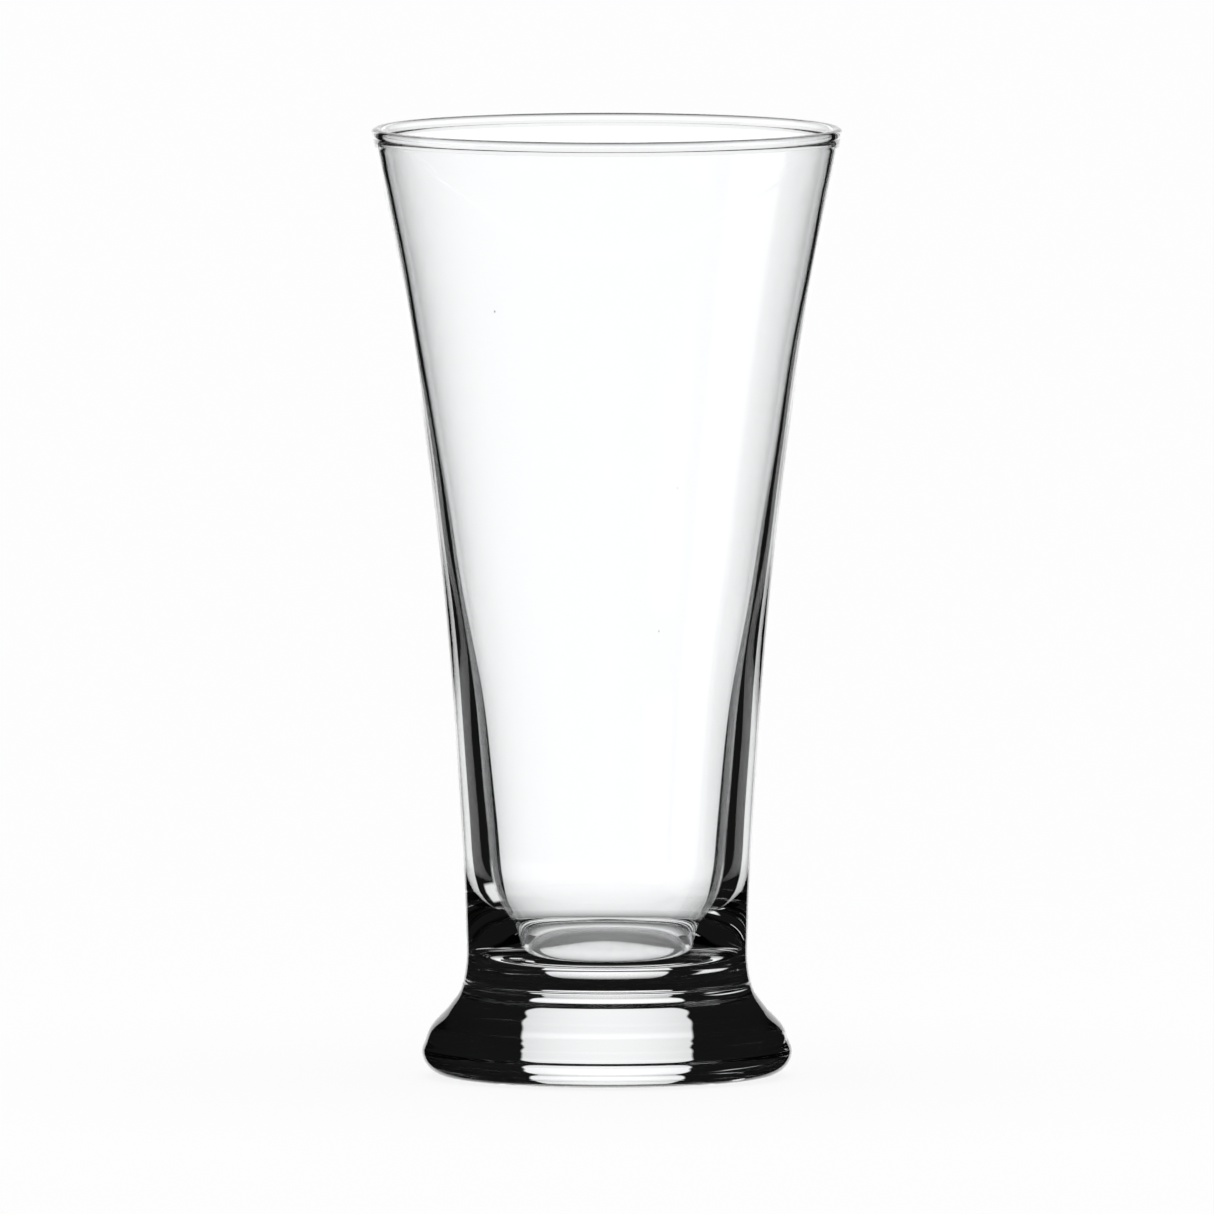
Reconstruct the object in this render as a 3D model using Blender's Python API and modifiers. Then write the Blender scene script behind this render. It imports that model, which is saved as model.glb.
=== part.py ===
"""Pint glass: a flared drinking glass on a heavy foot, in clear soda-lime glass.

Two pieces, fused while hot at the waist:
  bowl   the flared wall, thin at the fire-polished lip and thick below, with the inside floor
  foot   the solid flared foot, with a bearing ring round a shallow hollow underneath

Metres, +Z up, origin on the table at the middle of the foot. The two pieces stand
a hair apart at the joint plane, as every pair of touching pieces does here.
"""

import math

import bmesh
import bpy
import numpy as np

MM = 0.001
OBJECT_NAME = "pint_glass"

# The joint between foot and bowl
JOINT_HEIGHT = 18.8 * MM
JOINT_GAP = 0.3 * MM

# The lip: a round bead, a little fatter than the wall below it
LIP_BEAD_RADIUS = 1.14 * MM
LIP_CENTRE_RADIUS = 46.44 * MM
GLASS_HEIGHT = 191.5 * MM
LIP_START_DEG = -45.0
LIP_END_DEG = 225.0
LIP_STEPS = 12

# How the round is cut into facets
FACETS_ROUND = 64
FOOT_SPACING = 2.2 * MM
WALL_SPACING = 15.0 * MM
WELL_SPACING = 3.0 * MM

# Underside, from the axis to the flat bearing ring: (height, radius) in millimetres
UNDERSIDE = (
    (0.6, 0.0),
    (0.56, 12.09),
    (0.41, 22.19),
    (0.14, 27.24),
    (0.0, 30.02),
)

# Outside of the glass, from the bearing ring up: (height, radius) in millimetres
OUTSIDE_FOOT = (
    (0.0, 31.6),
    (0.4, 34.05),
    (1.09, 35.32),
    (2.48, 36.6),
    (4.06, 37.26),
    (5.35, 37.35),
    (7.13, 36.72),
    (9.11, 36.01),
    (11.1, 34.65),
    (13.18, 32.63),
    (15.16, 31.02),
    (17.14, 29.66),
    (19.22, 28.97),
    (21.79, 28.54),
    (24.27, 28.35),
    (27.74, 28.4),
)
OUTSIDE_WALL = (
    (35.66, 28.63),
    (47.55, 29.22),
    (61.42, 30.07),
    (75.29, 31.01),
    (89.16, 32.15),
    (103.03, 33.48),
    (116.9, 35.07),
    (130.76, 36.85),
    (144.63, 38.83),
    (158.5, 41.11),
    (170.39, 43.39),
    (178.32, 44.98),
    (183.27, 45.97),
    (186.24, 46.56),
    (187.73, 46.84),
    (188.62, 47.02),
)

# Inside of the bowl, from the axis at the floor up: (height, radius) in millimetres
INSIDE_WELL = (
    (22.29, 0.0),
    (22.29, 6.93),
    (22.44, 12.38),
    (22.88, 15.65),
    (23.97, 17.83),
    (25.56, 18.97),
    (27.74, 19.86),
    (30.51, 20.9),
    (33.19, 21.89),
    (36.16, 22.74),
    (39.63, 23.38),
)
INSIDE_WALL = (
    (47.55, 24.07),
    (57.46, 24.87),
    (65.38, 25.61),
    (73.31, 26.45),
    (81.23, 27.49),
    (89.16, 28.68),
    (101.05, 30.46),
    (114.91, 32.39),
    (128.78, 34.52),
    (142.65, 36.75),
    (156.52, 39.13),
    (170.39, 41.76),
    (178.32, 43.34),
    (183.27, 44.31),
    (186.24, 44.88),
    (187.73, 45.14),
    (188.42, 45.27),
)


def natural_spline(points):
    """Second derivatives at each point of a smooth curve through points, by length of chord."""
    chords = np.linalg.norm(np.diff(points, axis=0), axis=1)
    along = np.concatenate([[0.0], np.cumsum(chords)])
    count = len(points)
    matrix = np.zeros((count, count))
    right = np.zeros((count, points.shape[1]))
    matrix[0, 0] = 1.0
    matrix[-1, -1] = 1.0
    for i in range(1, count - 1):
        before = chords[i - 1]
        after = chords[i]
        matrix[i, i - 1] = before / 6.0
        matrix[i, i] = (before + after) / 3.0
        matrix[i, i + 1] = after / 6.0
        rise_after = (points[i + 1] - points[i]) / after
        rise_before = (points[i] - points[i - 1]) / before
        right[i] = rise_after - rise_before
    return along, np.linalg.solve(matrix, right)


def points_on_spline(points, spacings):
    """The curve through points, each stretch cut into pieces no longer than its spacing."""
    along, bend = natural_spline(points)
    curve = [points[0]]
    for i in range(len(points) - 1):
        length = along[i + 1] - along[i]
        pieces = max(1, math.ceil(length / spacings[i] - 0.05))
        for k in range(1, pieces + 1):
            b = k / pieces
            a = 1.0 - b
            straight = a * points[i] + b * points[i + 1]
            curved = (a**3 - a) * bend[i] + (b**3 - b) * bend[i + 1]
            curve.append(straight + curved * length**2 / 6.0)
    return curve


def stations(table):
    """Rows of (height, radius) in millimetres as (radius, height) in metres."""
    return [np.array((radius, height)) * MM for height, radius in table]


def lip_points():
    """The bead at the lip, from its outer side over the top to its inner side."""
    centre = np.array((LIP_CENTRE_RADIUS, GLASS_HEIGHT - LIP_BEAD_RADIUS))
    points = []
    for k in range(LIP_STEPS + 1):
        angle = math.radians(LIP_START_DEG + (LIP_END_DEG - LIP_START_DEG) * k / LIP_STEPS)
        points.append(centre + LIP_BEAD_RADIUS * np.array((math.cos(angle), math.sin(angle))))
    return points


def whole_section():
    """The outside from the bearing ring to the lip, and the inside from the lip to the axis."""
    foot = stations(OUTSIDE_FOOT)
    wall = stations(OUTSIDE_WALL)
    lip = lip_points()
    inside_wall = stations(INSIDE_WALL)[::-1]
    well = stations(INSIDE_WELL)[::-1]
    up = foot + wall + lip
    up_spacing = [FOOT_SPACING] * (len(foot) - 1) + [WALL_SPACING] * (1 + len(wall) + len(lip))
    outside = points_on_spline(np.array(up), up_spacing)
    down = lip[-2:] + inside_wall + well
    down_spacing = [WALL_SPACING] * (2 + len(inside_wall)) + [WELL_SPACING] * len(well)
    inside = points_on_spline(np.array(down), down_spacing)
    return outside, inside[2:]


def cut_at(curve, height):
    """Splits a rising curve at a height, with a point there on both halves."""
    for i in range(1, len(curve)):
        if curve[i][1] >= height:
            below = curve[i - 1]
            above = curve[i]
            share = (height - below[1]) / (above[1] - below[1])
            crossing = below + share * (above - below)
            crossing[1] = height
            return curve[:i] + [crossing], [crossing] + curve[i:]
    raise ValueError("the curve stops below the joint")


def without_slivers(curve, shortest):
    """Drops inner points that stand closer than shortest to the one before them."""
    kept = [curve[0]]
    for point in curve[1:-1]:
        if np.linalg.norm(point - kept[-1]) >= shortest:
            kept.append(point)
    if np.linalg.norm(curve[-1] - kept[-1]) < shortest and len(kept) > 1:
        kept.pop()
    kept.append(curve[-1])
    return kept


def glass_material(name, colour, roughness):
    material = bpy.data.materials.new(name)
    material.use_nodes = True
    shader = material.node_tree.nodes["Principled BSDF"]
    shader.inputs["Base Color"].default_value = (*colour, 1.0)
    shader.inputs["Roughness"].default_value = roughness
    shader.inputs["Metallic"].default_value = 0.0
    shader.inputs["IOR"].default_value = 1.52
    shader.inputs["Transmission Weight"].default_value = 1.0
    material.diffuse_color = (*colour, 0.35)
    return material


def turned(name, section, material, collection):
    """A piece turned round the Z axis from a section that runs down its outer side."""
    mesh = bpy.data.meshes.new(name)
    shape = bmesh.new()
    points = [shape.verts.new((float(radius), 0.0, float(height))) for radius, height in section]
    for first, second in zip(points[:-1], points[1:]):
        shape.edges.new((first, second))
    shape.to_mesh(mesh)
    shape.free()
    piece = bpy.data.objects.new(name, mesh)
    collection.objects.link(piece)
    screw = piece.modifiers.new("turn", "SCREW")
    screw.axis = "Z"
    screw.angle = math.tau
    screw.steps = FACETS_ROUND
    screw.render_steps = FACETS_ROUND
    screw.use_merge_vertices = True
    screw.merge_threshold = 0.00001
    screw.use_smooth_shade = True
    mesh.materials.append(material)
    return piece


def clear_scene():
    for thing in list(bpy.data.objects):
        bpy.data.objects.remove(thing)
    for collection in list(bpy.data.collections):
        bpy.data.collections.remove(collection)


clear_scene()
pieces = bpy.data.collections.new(OBJECT_NAME)
bpy.context.scene.collection.children.link(pieces)

outside_curve, inside_curve = whole_section()
foot_outside, _ = cut_at(outside_curve, JOINT_HEIGHT)
_, bowl_outside = cut_at(outside_curve, JOINT_HEIGHT + JOINT_GAP)

# The foot: flat top at the joint, down its flared side, over the bearing ring, into the hollow
foot_section = [np.array((0.0, JOINT_HEIGHT))]
foot_section += without_slivers(foot_outside[::-1], 0.3 * MM)
foot_section += stations(UNDERSIDE)[::-1]
turned("foot", foot_section, glass_material("foot_glass", (0.93, 0.96, 0.95), 0.02), pieces)

# The bowl: from the middle of its floor up the inside, over the lip, down the outside to the joint
bowl_section = inside_curve[::-1]
bowl_section += without_slivers(bowl_outside, 0.3 * MM)[::-1]
bowl_section += [np.array((0.0, JOINT_HEIGHT + JOINT_GAP))]
turned("bowl", bowl_section, glass_material("bowl_glass", (0.94, 0.97, 0.96), 0.0), pieces)

print("foot section points", len(foot_section), "bowl section points", len(bowl_section))
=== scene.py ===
# %% [markdown]
# # A pint glass in bright light
# The object is a flared drinking glass on a heavy foot, all of it clear glass. Its shape is
# turned, so it is the same all the way round, and everything that the eye sees in it is light
# from behind, bent by the glass. Two things therefore decide the look: the exact curve of the
# section, inside and outside, and where the bright background ends.
#
# The lesson reads the section from the measured model, draws a finer and smoother one through it,
# turns it into two fused pieces, gives the glass its small faults, and lights it as a maker's
# catalogue does, against a bright panel with dark on both sides.

# %% Load the measured model
import math

import bmesh
import bpy
import numpy as np
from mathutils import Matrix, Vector


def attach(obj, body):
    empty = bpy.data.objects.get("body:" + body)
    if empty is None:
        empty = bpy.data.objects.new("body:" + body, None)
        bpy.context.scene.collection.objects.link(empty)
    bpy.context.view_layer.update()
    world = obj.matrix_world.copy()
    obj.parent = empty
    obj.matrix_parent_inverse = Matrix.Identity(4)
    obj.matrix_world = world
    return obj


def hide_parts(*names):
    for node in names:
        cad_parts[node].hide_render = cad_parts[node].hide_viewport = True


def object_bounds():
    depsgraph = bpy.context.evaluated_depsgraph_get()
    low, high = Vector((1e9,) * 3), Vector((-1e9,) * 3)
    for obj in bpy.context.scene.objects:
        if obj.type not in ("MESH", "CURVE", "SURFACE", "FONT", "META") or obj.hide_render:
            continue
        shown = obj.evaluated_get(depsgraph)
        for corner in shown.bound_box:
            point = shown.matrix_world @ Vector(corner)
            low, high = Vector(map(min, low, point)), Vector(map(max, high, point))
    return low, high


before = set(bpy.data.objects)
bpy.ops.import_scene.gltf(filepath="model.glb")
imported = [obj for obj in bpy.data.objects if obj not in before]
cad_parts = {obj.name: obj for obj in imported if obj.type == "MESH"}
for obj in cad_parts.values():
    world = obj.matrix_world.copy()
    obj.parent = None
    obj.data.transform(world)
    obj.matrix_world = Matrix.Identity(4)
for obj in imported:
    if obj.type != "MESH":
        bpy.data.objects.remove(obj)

CAD_LOW, CAD_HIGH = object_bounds()
HEIGHT = CAD_HIGH.z - CAD_LOW.z
MM = 0.001
print("glass height", round(HEIGHT / MM, 1), "mm, widest", round((CAD_HIGH.x - CAD_LOW.x) / MM, 1))

# %% [markdown]
# ## Reading the section
# A turned shape is known from one cut through its axis. Each measured piece has a column of
# points at every facet, and the points that lie on the plane y = 0, on the positive side, are
# that cut. They are joined by edges of the mesh, so the cut can be walked like a path, from the
# point on the axis to the rim of the flat face where the two pieces meet. A flat floor may have
# no point at its middle, and then the cut is carried on level to the axis.

# %% Walk the cut of each measured piece
ON_PLANE = 0.000002


def section_of(node):
    """(radius, height) points of a turned piece, from the axis to the rim of its flat joint face."""
    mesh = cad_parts[node].data
    place = {}
    for vertex in mesh.vertices:
        if abs(vertex.co.y) < ON_PLANE and vertex.co.x > -ON_PLANE:
            place[vertex.index] = (round(max(vertex.co.x, 0.0), 6), round(vertex.co.z, 6))
    beside = {}
    for edge in mesh.edges:
        a, b = (place.get(index) for index in edge.vertices)
        if a and b and a != b:
            beside.setdefault(a, set()).add(b)
            beside.setdefault(b, set()).add(a)
    walk = [min(beside)]
    while True:
        onward = [point for point in beside[walk[-1]] if point not in walk]
        if not onward:
            break
        walk.append(onward[0])
    if walk[0][0] > 0.0:
        walk.insert(0, (0.0, walk[0][1]))
    return [np.array(point) for point in walk]


foot_cut = section_of("foot")
bowl_cut = section_of("bowl")[::-1]
JOINT_HEIGHT = (foot_cut[-1][1] + bowl_cut[0][1]) / 2
print("cut points: foot", len(foot_cut), "bowl", len(bowl_cut))
print("joint at", round(JOINT_HEIGHT / MM, 2), "mm")

# %% [markdown]
# ## One line from the underside to the inside floor
# The foot and the bowl are fused while hot, so the outside runs on without a break where they
# meet. The two cuts become one line: from the middle of the underside out to the bearing ring,
# up the outside, over the lip and down the inside to the middle of the floor.

# %% Join the cuts
meeting = (foot_cut[-1] + bowl_cut[0]) / 2
line = foot_cut[:-1] + [meeting] + bowl_cut[1:]
TOP = max(point[1] for point in line)
LIP_REACH = 2.0 * MM
lip_at = [i for i, point in enumerate(line) if point[1] > TOP - LIP_REACH]
outside_points = line[: lip_at[0] + 1]
lip_points = line[lip_at[0] : lip_at[-1] + 1]
inside_points = line[lip_at[-1] :]
print("outside", len(outside_points), "lip", len(lip_points), "inside", len(inside_points))

# %% [markdown]
# ## The lip
# The edge of a machine-made glass is melted in a flame until it pulls itself round, so the lip
# is a true round bead, a little fatter than the wall. A circle through three of its points gives
# its centre and radius, and from those the bead can be drawn as finely as wanted, with the exact
# direction in which the wall has to leave it.

# %% Fit the bead


def circle_through(a, b, c):
    """Centre and radius of the circle through three points."""
    rows = 2.0 * np.array([b - a, c - a])
    right = np.array([b @ b - a @ a, c @ c - a @ a])
    centre = np.linalg.solve(rows, right)
    return centre, float(np.linalg.norm(a - centre))


lip_middle = lip_points[len(lip_points) // 2]
bead_centre, BEAD_RADIUS = circle_through(lip_points[0], lip_middle, lip_points[-1])


def bead_angle(point):
    across, up = point - bead_centre
    return math.atan2(up, across) % math.tau


bead_start = bead_angle(lip_points[0])
bead_end = bead_angle(lip_points[-1])
if bead_start > bead_end:
    bead_start -= math.tau
BEAD_STEPS = 26
bead = []
for step in range(BEAD_STEPS + 1):
    angle = bead_start + (bead_end - bead_start) * step / BEAD_STEPS
    bead.append(bead_centre + BEAD_RADIUS * np.array((math.cos(angle), math.sin(angle))))
print("bead radius", round(BEAD_RADIUS / MM, 2), "mm")

# %% [markdown]
# ## A smooth curve through the points
# Glass shows every kink, because each kink bends the light behind it differently. Straight lines
# between the measured points would show as bands. A cubic spline keeps both the direction and
# the bend continuous, and its ends can be held to a known direction: level at the axis, and
# along the bead at the lip.

# %% The spline


def smooth_curve(points, first_way, last_way, spacing):
    """Points along the smooth curve through points, with the given directions at its two ends."""
    points = np.array(points)
    chords = np.linalg.norm(np.diff(points, axis=0), axis=1)
    slopes = np.diff(points, axis=0) / chords[:, None]
    count = len(points)
    matrix = np.zeros((count, count))
    right = np.zeros((count, 2))
    matrix[0, :2] = chords[0] / 3, chords[0] / 6
    right[0] = slopes[0] - first_way
    for i in range(1, count - 1):
        matrix[i, i - 1 : i + 2] = chords[i - 1] / 6, (chords[i - 1] + chords[i]) / 3, chords[i] / 6
        right[i] = slopes[i] - slopes[i - 1]
    matrix[-1, -2:] = chords[-1] / 6, chords[-1] / 3
    right[-1] = last_way - slopes[-1]
    bend = np.linalg.solve(matrix, right)
    curve = [points[0]]
    for i, chord in enumerate(chords):
        cuts = max(1, math.ceil(chord / spacing(points[i][1])))
        for k in range(1, cuts + 1):
            b = k / cuts
            a = 1.0 - b
            middle = a * points[i] + b * points[i + 1]
            curve.append(middle + ((a**3 - a) * bend[i] + (b**3 - b) * bend[i + 1]) * chord**2 / 6)
    return curve


def spacing_at(height):
    """Fine in the foot and the well, where the glass is thick and bends light most."""
    return 0.65 * MM if height < 0.2 * HEIGHT else 1.9 * MM


def along_bead(angle):
    return np.array((-math.sin(angle), math.cos(angle)))


outward = np.array((1.0, 0.0))
outside = smooth_curve(outside_points, outward, along_bead(bead_start), spacing_at)
inside = smooth_curve(inside_points, along_bead(bead_end), -outward, spacing_at)
for point in outside:
    point[1] = max(point[1], CAD_LOW.z)
print("smooth points: outside", len(outside), "inside", len(inside))

# %% [markdown]
# ## Turning the section
# A screw modifier would turn the section too, but here each ring of points gets a small change
# of its own, so the mesh is built directly: one ring for each point of the section, one point
# where the section touches the axis, and faces between neighbouring rings.
#
# Hot glass never copies its mould exactly. The outside was against cold metal and keeps only a
# faint unevenness, while the inside was shaped by a plunger and air, so it wanders a little more.
# The change is a few hundredths of a millimetre, too little to see in the outline and enough to
# make the light in the wall wander as it does in a real glass.

# %% Rings, and how much each wanders
ROUND = 256
WAVES = (
    (1, 9.0, 0.4, 1.0),
    (2, 17.0, 1.9, 0.8),
    (3, -13.0, 4.1, 0.7),
    (5, 24.0, 2.7, 0.4),
    (7, -31.0, 5.5, 0.25),
)
OUTSIDE_WANDER = 0.012 * MM
INSIDE_WANDER = 0.05 * MM


def wander(angle, height):
    """A smooth value between about -1 and 1 that changes slowly round and up the glass."""
    total = 0.0
    for times_round, per_metre, phase, share in WAVES:
        total += share * math.cos(times_round * angle + per_metre * height * math.tau + phase)
    return total / sum(wave[3] for wave in WAVES)


def ease(value, low, high):
    """0 below low, 1 above high, and an even slope between."""
    share = min(1.0, max(0.0, (value - low) / (high - low)))
    return share * share * (3.0 - 2.0 * share)


def turned(name, section, how_far):
    """A closed mesh turned from a section that starts and ends on the axis."""
    mesh = bpy.data.meshes.new(name)
    shape = bmesh.new()
    rings = []
    for index, (radius, height) in enumerate(section):
        if radius < 0.00001:
            rings.append([shape.verts.new((0.0, 0.0, height))])
            continue
        ring = []
        for step in range(ROUND):
            angle = math.tau * step / ROUND
            far = radius + how_far(index, angle, radius, height)
            ring.append(shape.verts.new((far * math.cos(angle), far * math.sin(angle), height)))
        rings.append(ring)
    for lower, upper in zip(rings[:-1], rings[1:]):
        for step in range(ROUND):
            after = (step + 1) % ROUND
            corners = [lower[step % len(lower)], lower[after % len(lower)]]
            corners += [upper[after % len(upper)], upper[step % len(upper)]]
            shape.faces.new(list(dict.fromkeys(corners)))
    bmesh.ops.recalc_face_normals(shape, faces=shape.faces)
    shape.to_mesh(mesh)
    shape.free()
    mesh.shade_smooth()
    piece = bpy.data.objects.new(name, mesh)
    bpy.context.scene.collection.objects.link(piece)
    print(name, "faces", len(mesh.polygons))
    return piece


# %% [markdown]
# ## Foot and bowl
# The line is cut at the joint. Each piece is closed by a flat disc there, with a few rings in it
# so that its faces stay well shaped. The two discs lie exactly on each other, and because the
# glass is fused, light must pass as if they weren't there. They get a clear finish of their own.

# %% Cut the line at the joint and turn both pieces
DISC_RINGS = 5


def disc(radius, height):
    """Points from just inside the rim of a disc to its middle."""
    return [np.array((radius * (1.0 - k / DISC_RINGS), height)) for k in range(1, DISC_RINGS + 1)]


whole_outside = outside[:-1]
cut = next(i for i, point in enumerate(whole_outside) if abs(point[1] - JOINT_HEIGHT) < 1e-9)
joint_disc = disc(whole_outside[cut][0], JOINT_HEIGHT)
foot_line = whole_outside[: cut + 1] + joint_disc
bowl_line = joint_disc[::-1] + whole_outside[cut:] + bead + inside[1:]
first_inside = len(joint_disc) + len(whole_outside) - cut + len(bead)


def foot_wander(index, angle, radius, height):
    free = ease(height, 1.0 * MM, 6.0 * MM) * ease(JOINT_HEIGHT - height, 0.0, 4.0 * MM)
    return OUTSIDE_WANDER * free * (wander(angle, height) - 1.0)


def bowl_wander(index, angle, radius, height):
    free = ease(height - JOINT_HEIGHT, 0.0, 4.0 * MM) * ease(TOP - height, 4.0 * MM, 30.0 * MM)
    if index < first_inside:
        return OUTSIDE_WANDER * free * (wander(angle, height) - 1.0)
    return INSIDE_WANDER * free * ease(radius, 0.0, 12.0 * MM) * wander(angle + 2.0, height)


glass_foot = turned("glass_foot", foot_line, foot_wander)
glass_bowl = turned("glass_bowl", bowl_line, bowl_wander)

# %% [markdown]
# ## Seeds
# Small gas bubbles that didn't rise out of the melt stay in the glass as seeds. They are drawn
# out a little as the glass is pressed. Each is a hollow in the wall, so its surface faces
# inwards, towards the gas. A handful is enough: a clean modern glass has few.

# %% Make the seeds
SEEDS = (
    (152.0, -143.5, 0.34, 1.3),
    (50.6, -58.0, 0.22, 1.8),
    (121.0, 24.0, 0.20, 1.2),
    (86.0, 158.0, 0.24, 1.5),
    (171.0, 71.0, 0.18, 1.3),
    (36.0, 112.0, 0.26, 1.4),
)


def radius_at(curve, height):
    heights = np.array([point[1] for point in curve])
    radii = np.array([point[0] for point in curve])
    order = np.argsort(heights)
    return float(np.interp(height, heights[order], radii[order]))


def make_seeds(rows):
    """Egg-shaped hollows in the middle of the wall: height, degrees from the front, width, stretch."""
    mesh = bpy.data.meshes.new("seeds")
    shape = bmesh.new()
    outer_wall = [point for point in outside if point[1] > 0.15 * HEIGHT]
    inner_wall = [point for point in inside if point[1] > 0.15 * HEIGHT]
    for height_mm, degrees, width_mm, stretch in rows:
        height = height_mm * MM
        radius = (radius_at(outer_wall, height) + radius_at(inner_wall, height)) / 2
        angle = math.radians(degrees - 90.0)
        made = bmesh.ops.create_icosphere(shape, subdivisions=2, radius=width_mm * MM / 2)
        for vertex in made["verts"]:
            vertex.co.z *= stretch * (1.0 + 0.15 * vertex.co.z / (width_mm * MM / 2))
            vertex.co += Vector((radius * math.cos(angle), radius * math.sin(angle), height))
    bmesh.ops.reverse_faces(shape, faces=shape.faces)
    shape.to_mesh(mesh)
    shape.free()
    mesh.shade_smooth()
    piece = bpy.data.objects.new("seeds", mesh)
    bpy.context.scene.collection.objects.link(piece)
    return piece


seeds = make_seeds(SEEDS)
print("seeds", len(SEEDS))

# %% [markdown]
# ## Finishes shared by the glass
# Three effects appear on more than one piece, so each is a node group with named inputs.
#
# Mould ripple is the faint relief left by the cold mould. It is too shallow to model ring by
# ring, so it is a height that feeds a bump.

# %% Helpers for node groups


def new_group(name, inputs, outputs):
    """An empty node group with float inputs and outputs, and its two end nodes."""
    group = bpy.data.node_groups.new(name, "ShaderNodeTree")
    for title, start in inputs:
        socket = group.interface.new_socket(title, in_out="INPUT", socket_type="NodeSocketFloat")
        socket.default_value = start
    for title in outputs:
        group.interface.new_socket(title, in_out="OUTPUT", socket_type="NodeSocketFloat")
    return group, group.nodes.new("NodeGroupInput"), group.nodes.new("NodeGroupOutput")


def maths(tree, operation, first, second=None, clamp=False):
    """A Math node fed by numbers or by other nodes' outputs, and its output."""
    node = tree.nodes.new("ShaderNodeMath")
    node.operation = operation
    node.use_clamp = clamp
    for socket, value in zip(node.inputs, (first, second)):
        if value is None:
            continue
        if isinstance(value, (int, float)):
            socket.default_value = value
        else:
            tree.links.new(value, socket)
    return node.outputs[0]


def object_place(tree):
    """The point on the object in metres, and its parts."""
    place = tree.nodes.new("ShaderNodeTexCoord").outputs["Object"]
    parts = tree.nodes.new("ShaderNodeSeparateXYZ")
    tree.links.new(place, parts.inputs[0])
    return place, parts.outputs


def noise(tree, place, scale, detail, stretch=(1.0, 1.0, 1.0)):
    """Noise over the object, with the place stretched first."""
    mapping = tree.nodes.new("ShaderNodeMapping")
    mapping.inputs["Scale"].default_value = stretch
    tree.links.new(place, mapping.inputs["Vector"])
    texture = tree.nodes.new("ShaderNodeTexNoise")
    texture.inputs["Detail"].default_value = detail
    if isinstance(scale, (int, float)):
        texture.inputs["Scale"].default_value = scale
    else:
        tree.links.new(scale, texture.inputs["Scale"])
    tree.links.new(mapping.outputs[0], texture.inputs["Vector"])
    return texture.outputs["Fac"]


# %% Mould ripple
ripple, ripple_in, ripple_out = new_group(
    "mould_ripple", (("Scale", 60.0), ("Strength", 1.0)), ("Height",)
)
place, _ = object_place(ripple)
slow = noise(ripple, place, ripple_in.outputs["Scale"], 1.0, (1.0, 1.0, 0.35))
scaled = maths(ripple, "MULTIPLY", slow, ripple_in.outputs["Strength"])
ripple.links.new(scaled, ripple_out.inputs["Height"])
print("group", ripple.name)

# %% [markdown]
# Washing haze is what many turns in a dishwasher leave: soft dull patches with fine streaks in
# them. It only changes the roughness, and by very little, because the glass is still clear.

# %% Washing haze
haze, haze_in, haze_out = new_group(
    "washing_haze", (("Least", 0.0), ("Most", 0.05), ("Scale", 18.0)), ("Roughness",)
)
place, _ = object_place(haze)
patches = noise(haze, place, haze_in.outputs["Scale"], 3.0)
streaks = noise(haze, place, 420.0, 2.0, (1.0, 1.0, 0.06))
both = maths(haze, "MULTIPLY", maths(haze, "SUBTRACT", patches, 0.45, clamp=True), streaks)
amount = maths(haze, "MULTIPLY", both, 5.0, clamp=True)
spread = maths(haze, "SUBTRACT", haze_in.outputs["Most"], haze_in.outputs["Least"])
total = maths(haze, "ADD", haze_in.outputs["Least"], maths(haze, "MULTIPLY", amount, spread))
haze.links.new(total, haze_out.inputs["Roughness"])
print("group", haze.name)

# %% [markdown]
# Table wear is the grey ring that the foot rubs on itself wherever it is slid across a bar. It
# covers only what touches, the bottom tenth of a millimetre, and it is broken up by noise.

# %% Table wear
wear, wear_in, wear_out = new_group(
    "table_wear", (("Rise", 0.00025), ("Grain", 1600.0)), ("Mask", "Height")
)
place, parts = object_place(wear)
low = maths(wear, "DIVIDE", parts[2], wear_in.outputs["Rise"])
touch = maths(wear, "SUBTRACT", 1.0, low, clamp=True)
grit = noise(wear, place, wear_in.outputs["Grain"], 3.0)
mask = maths(wear, "MULTIPLY", touch, maths(wear, "ADD", grit, 0.35), clamp=True)
wear.links.new(mask, wear_out.inputs["Mask"])
wear.links.new(maths(wear, "MULTIPLY", mask, grit), wear_out.inputs["Height"])
print("group", wear.name)

# %% [markdown]
# ## The glass
# Soda-lime glass bends light by 1.52. It is clear, and only its thick parts show the faint cold
# tint of the melt, so the tint is on the shader's own colour and very slight. The foot is
# thicker than the wall, and gets a little more of it.

# %% Glass finishes


def place_group(tree, group, values):
    node = tree.nodes.new("ShaderNodeGroup")
    node.node_tree = group
    for title, value in values.items():
        node.inputs[title].default_value = value
    return node


def bumped(tree, shader, height, distance):
    """Feeds a height in metres through a bump into the shader's normal."""
    bump = tree.nodes.new("ShaderNodeBump")
    bump.inputs["Distance"].default_value = distance
    tree.links.new(height, bump.inputs["Height"])
    tree.links.new(bump.outputs["Normal"], shader.inputs["Normal"])


def clear_glass(name, tint):
    """A new glass material, with its tree and its shader."""
    material = bpy.data.materials.new(name)
    material.use_nodes = True
    shader = material.node_tree.nodes["Principled BSDF"]
    shader.inputs["Base Color"].default_value = (*tint, 1.0)
    shader.inputs["Metallic"].default_value = 0.0
    shader.inputs["IOR"].default_value = 1.52
    shader.inputs["Transmission Weight"].default_value = 1.0
    return material, material.node_tree, shader


bowl_finish, tree, shader = clear_glass("bowl_glass_clear", (0.988, 0.995, 0.998))
hazed = place_group(tree, haze, {"Least": 0.0, "Most": 0.03, "Scale": 22.0})
rippled = place_group(tree, ripple, {"Scale": 70.0, "Strength": 1.0})
tree.links.new(hazed.outputs["Roughness"], shader.inputs["Roughness"])
bumped(tree, shader, rippled.outputs["Height"], 0.00002)

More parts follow.
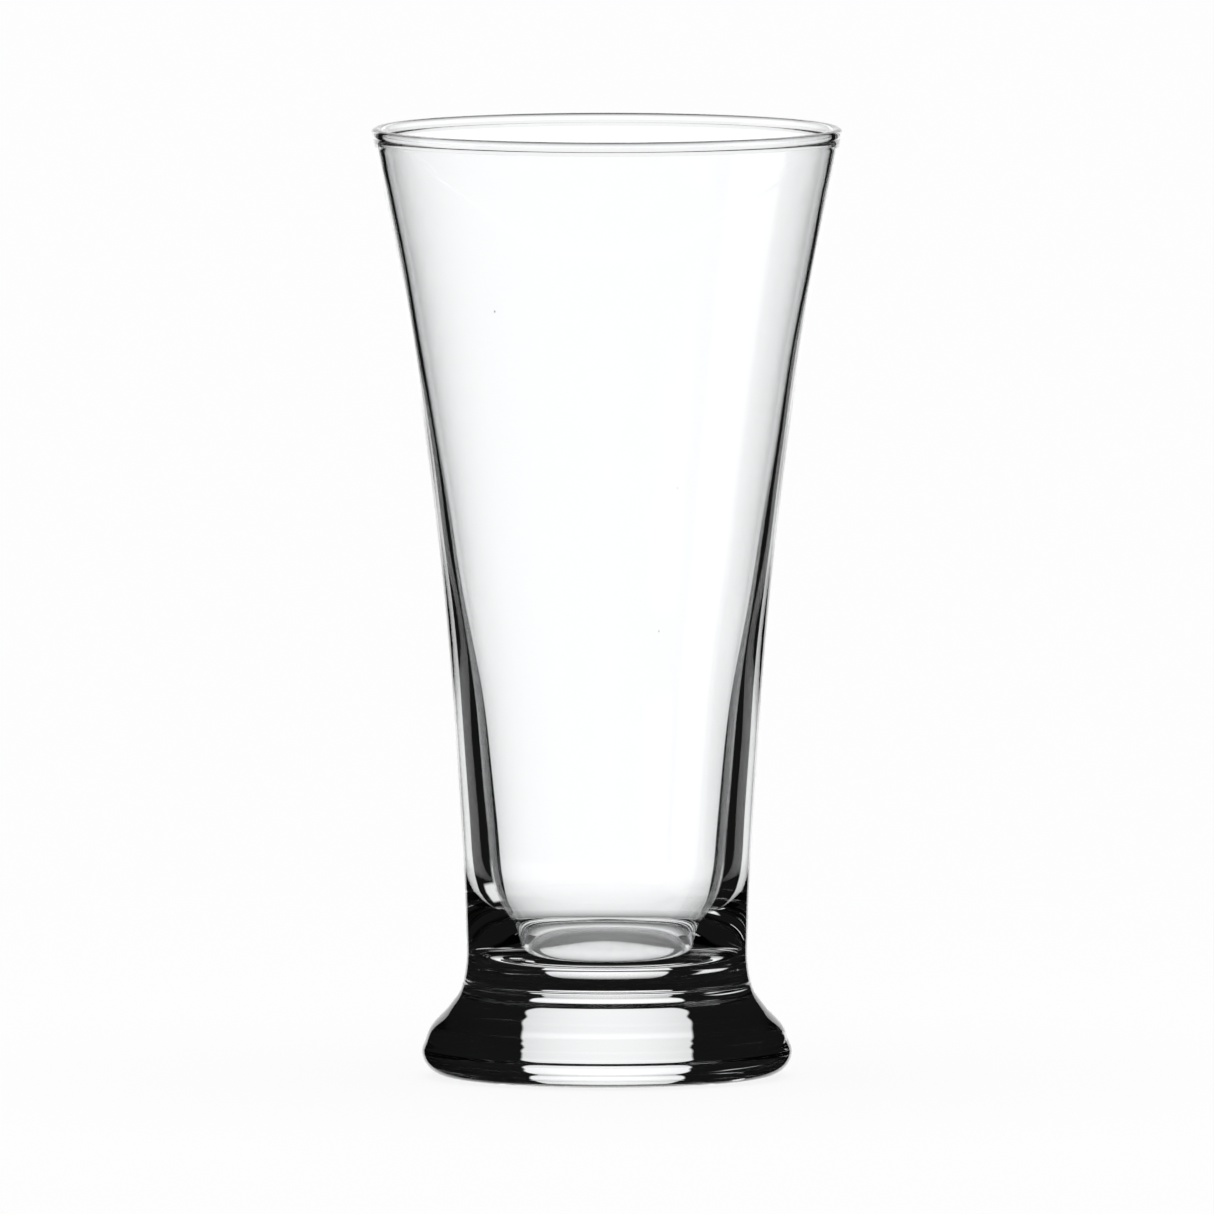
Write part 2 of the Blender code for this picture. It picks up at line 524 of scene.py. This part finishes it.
foot_finish, tree, shader = clear_glass("foot_glass_clear", (0.98, 0.99, 0.995))
hazed = place_group(tree, haze, {"Least": 0.0, "Most": 0.04, "Scale": 40.0})
worn = place_group(tree, wear, {"Rise": 0.00025, "Grain": 1600.0})
rippled = place_group(tree, ripple, {"Scale": 90.0, "Strength": 1.0})
rubbed = maths(tree, "MULTIPLY", worn.outputs["Mask"], 0.4)
rough = maths(tree, "ADD", hazed.outputs["Roughness"], rubbed)
tree.links.new(rough, shader.inputs["Roughness"])
relief = maths(tree, "ADD", rippled.outputs["Height"], worn.outputs["Height"])
bumped(tree, shader, relief, 0.00002)

seed_finish, tree, shader = clear_glass("seed_wall", (0.97, 0.98, 0.98))
rippled = place_group(tree, ripple, {"Scale": 2500.0, "Strength": 1.0})
bumped(tree, shader, rippled.outputs["Height"], 0.00001)
shader.inputs["Roughness"].default_value = 0.0
print("glass finishes", bowl_finish.name, foot_finish.name, seed_finish.name)

# %% [markdown]
# ## The fused joint
# Where the two pieces meet there is no surface in a real glass, only one solid. The two flat
# discs are therefore fully see-through and don't bend light.

# %% The finish of the joint discs
joint_finish = bpy.data.materials.new("fused_joint")
joint_finish.use_nodes = True
joint_shader = joint_finish.node_tree.nodes["Principled BSDF"]
joint_shader.inputs["Alpha"].default_value = 0.0
joint_shader.inputs["Specular IOR Level"].default_value = 0.0


def give_glass(piece, finish):
    """The glass finish everywhere, and the joint finish on the flat disc at the joint."""
    piece.data.materials.append(finish)
    piece.data.materials.append(joint_finish)
    count = 0
    for face in piece.data.polygons:
        flat = all(abs(piece.data.vertices[v].co.z - JOINT_HEIGHT) < 1e-7 for v in face.vertices)
        face.material_index = 1 if flat else 0
        count += flat
    print(piece.name, "joint faces", count)


give_glass(glass_bowl, bowl_finish)
give_glass(glass_foot, foot_finish)
seeds.data.materials.append(seed_finish)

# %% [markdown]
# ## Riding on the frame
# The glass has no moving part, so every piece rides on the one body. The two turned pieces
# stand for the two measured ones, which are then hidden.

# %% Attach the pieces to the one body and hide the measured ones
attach(glass_bowl, "root")
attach(glass_foot, "root")
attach(seeds, "root")
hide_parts("bowl")
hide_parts("foot")

# %% [markdown]
# ## Light
# Glass in front of an even white wall nearly vanishes. Makers light it with a bright panel
# behind it that is only a little wider than the picture, and keep everything else dark: the
# middle of each piece is then bright, and wherever the glass bends the view past the edge of
# the panel a dark line appears and draws the shape.
#
# The world does the same. Rays that come straight from the camera see the plain pale studio.
# Rays that have been through the glass see the panels and patches of light, and dark elsewhere.

# %% Numbers of the studio
PANEL_HALF_WIDTH_DEG = 19.3
PANEL_LIGHT = 1.2
PANEL_SIDE_LIGHT = 0.8
PANEL_FADE_FROM = -0.15
PANEL_FADE_TO = -1.0
PANEL_TOP = 0.57
PANEL_UPPER_LIGHT = 0.84
STUDIO_WHITE = 0.985
DARK_CARD = 0.007
FLOOR_LIGHT = 0.95

# How many glass surfaces a ray has passed: more than none, a wall, or both walls
PAST_ONE_SURFACE = 0.5
PAST_ONE_WALL = 1.5
PAST_BOTH_WALLS = 3.5

# Turns in radians from straight behind, and rises as the upward share of a direction
UPPER_RISE = (-0.04, 0.10)
SIDE_PANEL_WALL_RISE = (-0.40, 0.05)
SIDE_PANEL_FOOT_RISE = (0.01, 0.35)
FLOOR_TURN = (0.59, 4.0)
FLOOR_RISE = (-2.0, -0.17)
LEFT_PATCH_TURN = (-0.98, -0.60)
LEFT_PATCH_RISE = (-0.54, -0.32)
NEAR_PATCH_TURN = (2.16, 2.56)
NEAR_PATCH_RISE = (-0.38, -0.16)
TURN_SOFTNESS = 0.04


def soft_step(tree, value, low, high):
    """0 at low and 1 at high, smoothly, for a node's output."""
    node = tree.nodes.new("ShaderNodeMapRange")
    node.interpolation_type = "SMOOTHSTEP"
    node.inputs["From Min"].default_value = low
    node.inputs["From Max"].default_value = high
    tree.links.new(value, node.inputs["Value"])
    return node.outputs["Result"]


def between(tree, value, low, high, soft):
    """1 where a node's output lies between low and high, with a soft edge on both sides."""
    above = soft_step(tree, value, low - soft, low + soft)
    beyond = soft_step(tree, value, high - soft, high + soft)
    return maths(tree, "MULTIPLY", above, maths(tree, "SUBTRACT", 1.0, beyond))


def product(tree, *factors):
    result = factors[0]
    for factor in factors[1:]:
        result = maths(tree, "MULTIPLY", result, factor)
    return result


# %% The world: directions
world = bpy.data.worlds.new("studio")
bpy.context.scene.world = world
world.use_nodes = True
tree = world.node_tree
tree.nodes.clear()
toward = tree.nodes.new("ShaderNodeSeparateXYZ")
tree.links.new(tree.nodes.new("ShaderNodeTexCoord").outputs["Generated"], toward.inputs[0])
east, north, up = toward.outputs
turn = maths(tree, "ARCTAN2", east, north)
turned_away = maths(tree, "ABSOLUTE", turn)
path = tree.nodes.new("ShaderNodeLightPath").outputs
half_width = math.radians(PANEL_HALF_WIDTH_DEG)


def panel(centre_turn):
    """Light of a panel round a compass direction, dimmer to the sides and above, fading below."""
    apart = maths(tree, "ABSOLUTE", maths(tree, "SUBTRACT", turn, centre_turn))
    edge = math.radians(0.5)
    beyond = soft_step(tree, apart, half_width - edge, half_width + edge)
    within = maths(tree, "SUBTRACT", 1.0, beyond)
    above = soft_step(tree, up, PANEL_FADE_TO, PANEL_FADE_FROM)
    below = maths(tree, "SUBTRACT", 1.0, soft_step(tree, up, PANEL_TOP - 0.01, PANEL_TOP + 0.01))
    share = maths(tree, "DIVIDE", apart, half_width)
    loss = PANEL_LIGHT * (1.0 - PANEL_SIDE_LIGHT)
    bright = maths(tree, "SUBTRACT", PANEL_LIGHT, product(tree, share, share, loss))
    high = product(tree, soft_step(tree, up, *UPPER_RISE), 1.0 - PANEL_UPPER_LIGHT)
    return product(tree, within, above, below, bright, maths(tree, "SUBTRACT", 1.0, high))


# %% [markdown]
# The panel stands behind the glass. Seen from its side, the same glass would be dark, because
# the panel is then out of the way, so a second panel stands to the side, and shines only on
# what is seen through the glass. Seen from above, the pale floor is what lies behind the glass,
# and light from there fills the wall where the view passes through both sides of the glass.
#
# Looking down into the mouth, the view passes through the far side only. Lighting that from all
# round would also put flecks of light in the waist as seen from the front. So it has two low
# patches only, placed opposite two raised viewpoints, one in front to the right and one behind
# to the left. From any other raised viewpoint the far side of the mouth is dark. That is a fault
# of this light, not of the glass.

# %% The world: light
behind = panel(0.0)
surfaces = path["Transmission Depth"]
both_walls = maths(tree, "GREATER_THAN", surfaces, PAST_BOTH_WALLS)
through = maths(tree, "GREATER_THAN", surfaces, PAST_ONE_SURFACE)
straight_on = product(tree, both_walls, between(tree, up, *SIDE_PANEL_WALL_RISE, 0.03))
by_the_foot = product(tree, through, between(tree, up, *SIDE_PANEL_FOOT_RISE, 0.02))
beside = product(tree, panel(-math.pi / 2), maths(tree, "MAXIMUM", straight_on, by_the_foot))
one_wall = maths(tree, "GREATER_THAN", surfaces, PAST_ONE_WALL)
aside = between(tree, turned_away, *FLOOR_TURN, TURN_SOFTNESS)
downward = between(tree, up, *FLOOR_RISE, 0.03)
wide = product(tree, both_walls, aside, downward)
left_turn = between(tree, turn, *LEFT_PATCH_TURN, TURN_SOFTNESS)
left_patch = product(tree, left_turn, between(tree, up, *LEFT_PATCH_RISE, 0.02))
near_turn = between(tree, turn, *NEAR_PATCH_TURN, TURN_SOFTNESS)
near_patch = product(tree, near_turn, between(tree, up, *NEAR_PATCH_RISE, 0.02))
narrow = product(tree, one_wall, maths(tree, "MAXIMUM", left_patch, near_patch))
floor_light = product(tree, maths(tree, "MAXIMUM", wide, narrow), FLOOR_LIGHT)
lights = maths(tree, "MAXIMUM", maths(tree, "MAXIMUM", behind, beside), floor_light)
lights = maths(tree, "MAXIMUM", lights, DARK_CARD)
straight = path["Is Camera Ray"]
bent = product(tree, maths(tree, "SUBTRACT", 1.0, straight), lights)
glow = tree.nodes.new("ShaderNodeBackground")
glow.inputs["Color"].default_value = (1.0, 1.0, 1.0, 1.0)
strength = maths(tree, "ADD", bent, product(tree, straight, STUDIO_WHITE))
tree.links.new(strength, glow.inputs["Strength"])
world_out = tree.nodes.new("ShaderNodeOutputWorld")
tree.links.new(glow.outputs[0], world_out.inputs[0])
print("world nodes", len(tree.nodes))

# %% [markdown]
# ## The floor
# The glass stands on a plain pale table. It glows as brightly as the studio behind it, so that
# there is no horizon, and a small part of its light comes from above, which lets the foot leave
# a faint soft shadow. The glass itself doesn't see the floor, as the table is cut away behind it
# in such a studio so that the panel can shine into the foot.

# %% Floor and the light over it
FLOOR_RADIUS = 0.6
LIT_SHARE = 0.10
floor_mesh = bpy.data.meshes.new("floor")
shape = bmesh.new()
bmesh.ops.create_circle(shape, cap_ends=True, radius=FLOOR_RADIUS, segments=96)
shape.to_mesh(floor_mesh)
shape.free()
floor = bpy.data.objects.new("floor", floor_mesh)
bpy.context.scene.collection.objects.link(floor)
floor.location.z = CAD_LOW.z - 0.0002
floor.visible_transmission = False
floor.visible_glossy = False
floor_finish = bpy.data.materials.new("pale_table")
floor_finish.use_nodes = True
tree = floor_finish.node_tree
tree.nodes.clear()
_, parts = object_place(tree)
across_squared = maths(
    tree,
    "ADD",
    maths(tree, "POWER", parts[0], 2.0),
    maths(tree, "POWER", parts[1], 2.0),
)
across = maths(tree, "SQRT", across_squared)
near = maths(tree, "SUBTRACT", 1.0, soft_step(tree, across, 0.12, 0.45))
lit = maths(tree, "MULTIPLY", near, LIT_SHARE)
own = maths(tree, "SUBTRACT", STUDIO_WHITE, lit)
glowing = tree.nodes.new("ShaderNodeEmission")
tree.links.new(own, glowing.inputs["Strength"])
matt = tree.nodes.new("ShaderNodeBsdfDiffuse")
tree.links.new(lit, matt.inputs["Color"])
added = tree.nodes.new("ShaderNodeAddShader")
tree.links.new(glowing.outputs[0], added.inputs[0])
tree.links.new(matt.outputs[0], added.inputs[1])
floor_out = tree.nodes.new("ShaderNodeOutputMaterial")
tree.links.new(added.outputs[0], floor_out.inputs[0])
floor_mesh.materials.append(floor_finish)

overhead = bpy.data.lights.new("overhead", "SUN")
overhead.energy = math.pi
overhead.angle = math.radians(80.0)
overhead_light = bpy.data.objects.new("overhead", overhead)
overhead_light.visible_glossy = False
overhead_light.visible_transmission = False
bpy.context.scene.collection.objects.link(overhead_light)
print("floor radius", FLOOR_RADIUS, "m")

# %% [markdown]
# ## Camera
# The picture is taken from far away with a long lens, a few degrees above the table, so that the
# sides don't lean. The whole glass is in view, with some white all round it.

# %% Camera
CAMERA_DISTANCE = 11.2
CAMERA_RISE_DEG = 4.2
FRAME_WIDTH = 1.278 * HEIGHT
AIM_HEIGHT = 0.4943 * HEIGHT
lens = bpy.data.cameras.new("camera")
lens.sensor_width = 36.0
lens.lens = lens.sensor_width * CAMERA_DISTANCE / FRAME_WIDTH
camera = bpy.data.objects.new("camera", lens)
bpy.context.scene.collection.objects.link(camera)
rise = math.radians(CAMERA_RISE_DEG)
back = Vector((0.0, -math.cos(rise), math.sin(rise)))
camera.location = Vector((0.0, 0.0, CAD_LOW.z + AIM_HEIGHT)) + back * CAMERA_DISTANCE
camera.rotation_euler = (-back).to_track_quat("-Z", "Y").to_euler()
bpy.context.scene.camera = camera
bpy.context.scene.view_settings.view_transform = "Standard"
print("lens", round(lens.lens), "mm")
